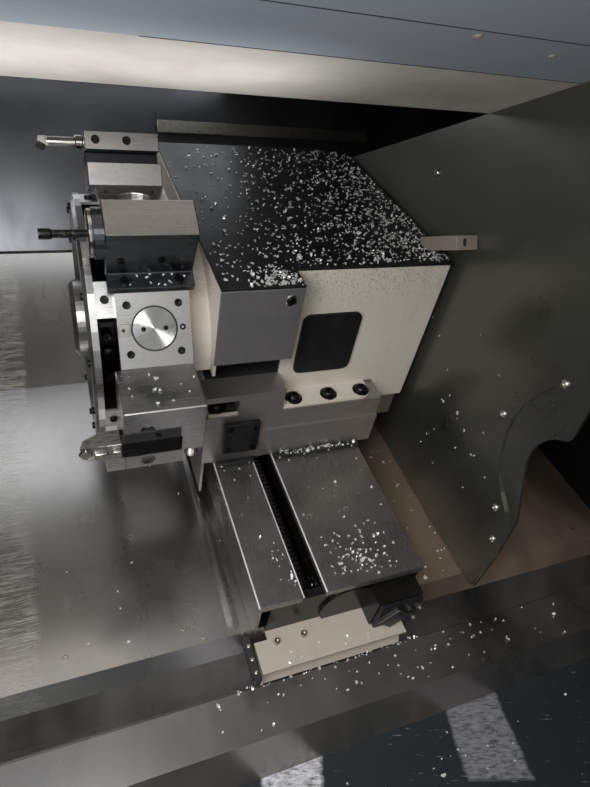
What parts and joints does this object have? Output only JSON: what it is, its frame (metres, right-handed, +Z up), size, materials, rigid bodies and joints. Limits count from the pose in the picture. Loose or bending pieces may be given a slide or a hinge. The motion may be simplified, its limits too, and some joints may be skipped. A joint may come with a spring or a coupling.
{
  "type": "cnc turning lathe",
  "caption": "Enclosed slant-bed turning machine with a driven chuck, a turret of tool holders on a cross slide, telescoping way covers, a sliding window door and a swing-out control panel.",
  "frame": {"origin": "floor level, midway between the outermost points of the machine in X and Y", "axes": "+Z up; +X from the spindle towards the turret housing, the operator's right; +Y away from the operator, through the machine"},
  "size_m": [2.23, 1.64, 1.69],
  "materials": {
    "bed_casting": "matte machine enamel",
    "z_rail_front": "ground",
    "z_rail_rear": "ground",
    "headstock_casting": "painted",
    "spindle_motor": "satin",
    "chuck_guard": "oiled sheet",
    "fixed_left_cover": "polished sheet",
    "wall_guard_plate": "oiled sheet",
    "right_wall_panel": "satin",
    "ceiling_panel": "satin",
    "rear_wall": "satin",
    "front_sill": "oiled sheet",
    "chip_pan": "worn satin",
    "left_side_panel": "satin",
    "right_side_panel": "satin",
    "back_panel": "satin",
    "roof_panel": "satin",
    "front_left_panel": "satin",
    "front_right_panel": "satin",
    "front_header": "satin",
    "front_apron": "satin",
    "work_lamp": "opal diffuser",
    "drive_belt": "matte",
    "z_motor": "satin",
    "coolant_tank": "satin",
    "spindle_shaft": "ground",
    "spindle_pulley": "turned",
    "chuck_body": "ground",
    "chuck_jaw_1": "hardened",
    "chuck_jaw_2": "hardened",
    "chuck_jaw_3": "hardened",
    "motor_pulley": "turned",
    "saddle_casting": "satin casting",
    "saddle_plate_left": "ground and oiled",
    "saddle_plate_right": "ground and oiled",
    "left_way_cover": "polished sheet",
    "right_way_cover": "oiled sheet",
    "x_motor": "satin",
    "z_screw": "ground",
    "x_screw": "ground",
    "slide_base": "oiled",
    "turret_housing": "satin casting",
    "housing_top_cover": "satin",
    "access_cover": "satin",
    "front_guard_plate": "polished steel",
    "turret_drum": "ground",
    "station_plug": "turned",
    "turning_holder": "ground",
    "turning_tool": "satin nickel",
    "boring_holder_low": "ground",
    "boring_bar_low": "ground",
    "boring_holder_high": "ground",
    "boring_bar_high": "ground",
    "door_frame": "satin",
    "door_window": "clear laminate",
    "operator_panel": "satin",
    "panel_screen": "glossy",
    "emergency_stop": "glossy",
    "start_button": "glossy",
    "feed_dial": "matte"
  },
  "bodies": {
    "machine": {"bed_casting": "bed_casting", "z_rail_front": "z_rail_front", "z_rail_rear": "z_rail_rear", "headstock_casting": "headstock_casting", "spindle_motor": "spindle_motor", "chuck_guard": "chuck_guard", "fixed_left_cover": "fixed_left_cover", "wall_guard_plate": "wall_guard_plate", "right_wall_panel": "right_wall_panel", "ceiling_panel": "ceiling_panel", "rear_wall": "rear_wall", "front_sill": "front_sill", "chip_pan": "chip_pan", "left_side_panel": "left_side_panel", "right_side_panel": "right_side_panel", "back_panel": "back_panel", "roof_panel": "roof_panel", "front_left_panel": "front_left_panel", "front_right_panel": "front_right_panel", "front_header": "front_header", "front_apron": "front_apron", "work_lamp": "work_lamp", "drive_belt": "drive_belt", "z_motor": "z_motor", "coolant_tank": "coolant_tank"},
    "spindle": {"spindle_shaft": "spindle_shaft", "spindle_pulley": "spindle_pulley", "chuck_body": "chuck_body"},
    "jaw_1": {"chuck_jaw_1": "chuck_jaw_1"},
    "jaw_2": {"chuck_jaw_2": "chuck_jaw_2"},
    "jaw_3": {"chuck_jaw_3": "chuck_jaw_3"},
    "spindle_drive": {"motor_pulley": "motor_pulley"},
    "saddle": {"saddle_casting": "saddle_casting", "saddle_plate_left": "saddle_plate_left", "saddle_plate_right": "saddle_plate_right", "left_way_cover": "left_way_cover", "right_way_cover": "right_way_cover", "x_motor": "x_motor"},
    "z_ballscrew": {"z_screw": "z_screw"},
    "x_ballscrew": {"x_screw": "x_screw"},
    "cross_slide": {"slide_base": "slide_base", "turret_housing": "turret_housing", "housing_top_cover": "housing_top_cover", "access_cover": "access_cover", "front_guard_plate": "front_guard_plate"},
    "turret": {"turret_drum": "turret_drum", "station_plug": "station_plug", "turning_holder": "turning_holder", "turning_tool": "turning_tool", "boring_holder_low": "boring_holder_low", "boring_bar_low": "boring_bar_low", "boring_holder_high": "boring_holder_high", "boring_bar_high": "boring_bar_high"},
    "door": {"door_frame": "door_frame", "door_window": "door_window"},
    "control_panel": {"operator_panel": "operator_panel", "panel_screen": "panel_screen"},
    "emergency_stop_button": {"emergency_stop": "emergency_stop"},
    "cycle_start_button": {"start_button": "start_button"},
    "feed_override": {"feed_dial": "feed_dial"}
  },
  "joints": [
    {"name": "z_slide", "type": "slide", "parent": "machine", "child": "saddle", "axis": [1, 0, 0], "range_m": [-0.3, 0]},
    {"name": "x_slide", "type": "slide", "parent": "saddle", "child": "cross_slide", "axis": [0, 0.866, 0.5], "range_m": [-0.2, 0]},
    {"name": "turret_index", "type": "hinge", "parent": "cross_slide", "child": "turret", "pos_m": [0.265, 0.2, 1.2], "axis": [1, 0, 0], "continuous": true},
    {"name": "spindle_spin", "type": "hinge", "parent": "machine", "child": "spindle", "pos_m": [0.265, -0.17239, 0.985], "axis": [1, 0, 0], "continuous": true},
    {"name": "jaw_1_slide", "type": "slide", "parent": "spindle", "child": "jaw_1", "axis": [0, 0.5, -0.866], "range_m": [0, 0.004]},
    {"name": "jaw_2_slide", "type": "slide", "parent": "spindle", "child": "jaw_2", "axis": [0, 0.5, 0.866], "range_m": [0, 0.004]},
    {"name": "jaw_3_slide", "type": "slide", "parent": "spindle", "child": "jaw_3", "axis": [0, -1, 0], "range_m": [0, 0.004]},
    {"name": "motor_spin", "type": "hinge", "parent": "machine", "child": "spindle_drive", "pos_m": [0.265, 0.39279, 1.04607], "axis": [1, 0, 0], "continuous": true},
    {"name": "z_screw_spin", "type": "hinge", "parent": "machine", "child": "z_ballscrew", "pos_m": [0.265, 0.2809, 0.85988], "axis": [1, 0, 0], "continuous": true},
    {"name": "x_screw_spin", "type": "hinge", "parent": "saddle", "child": "x_ballscrew", "pos_m": [0.4405, 0.313, 1.00428], "axis": [0, 0.866, 0.5], "continuous": true},
    {"name": "door_slide", "type": "slide", "parent": "machine", "child": "door", "axis": [1, 0, 0], "range_m": [0, 0.83]},
    {"name": "panel_swing", "type": "hinge", "parent": "machine", "child": "control_panel", "pos_m": [1.065, -0.712, 1.2], "axis": [0, 0, 1], "range_deg": [0, 75]},
    {"name": "emergency_stop_press", "type": "slide", "parent": "control_panel", "child": "emergency_stop_button", "axis": [0, 1, 0], "range_m": [0, 0.004], "stiffness_N_per_m": 1500, "springref_m": -0.001},
    {"name": "start_button_press", "type": "slide", "parent": "control_panel", "child": "cycle_start_button", "axis": [0, 1, 0], "range_m": [0, 0.004], "stiffness_N_per_m": 800, "springref_m": -0.001},
    {"name": "feed_dial_turn", "type": "hinge", "parent": "control_panel", "child": "feed_override", "pos_m": [0.795, -0.785, 1.015], "axis": [0, 1, 0], "range_deg": [-135, 135]}
  ],
  "couplings": [
    {"joint": "motor_spin", "follows": "spindle_spin", "ratio": 1.3077},
    {"joint": "jaw_2_slide", "follows": "jaw_1_slide", "ratio": 1},
    {"joint": "jaw_3_slide", "follows": "jaw_1_slide", "ratio": 1},
    {"joint": "z_screw_spin", "follows": "z_slide", "rad_per_m": -628.32},
    {"joint": "x_screw_spin", "follows": "x_slide", "rad_per_m": -628.32}
  ]
}
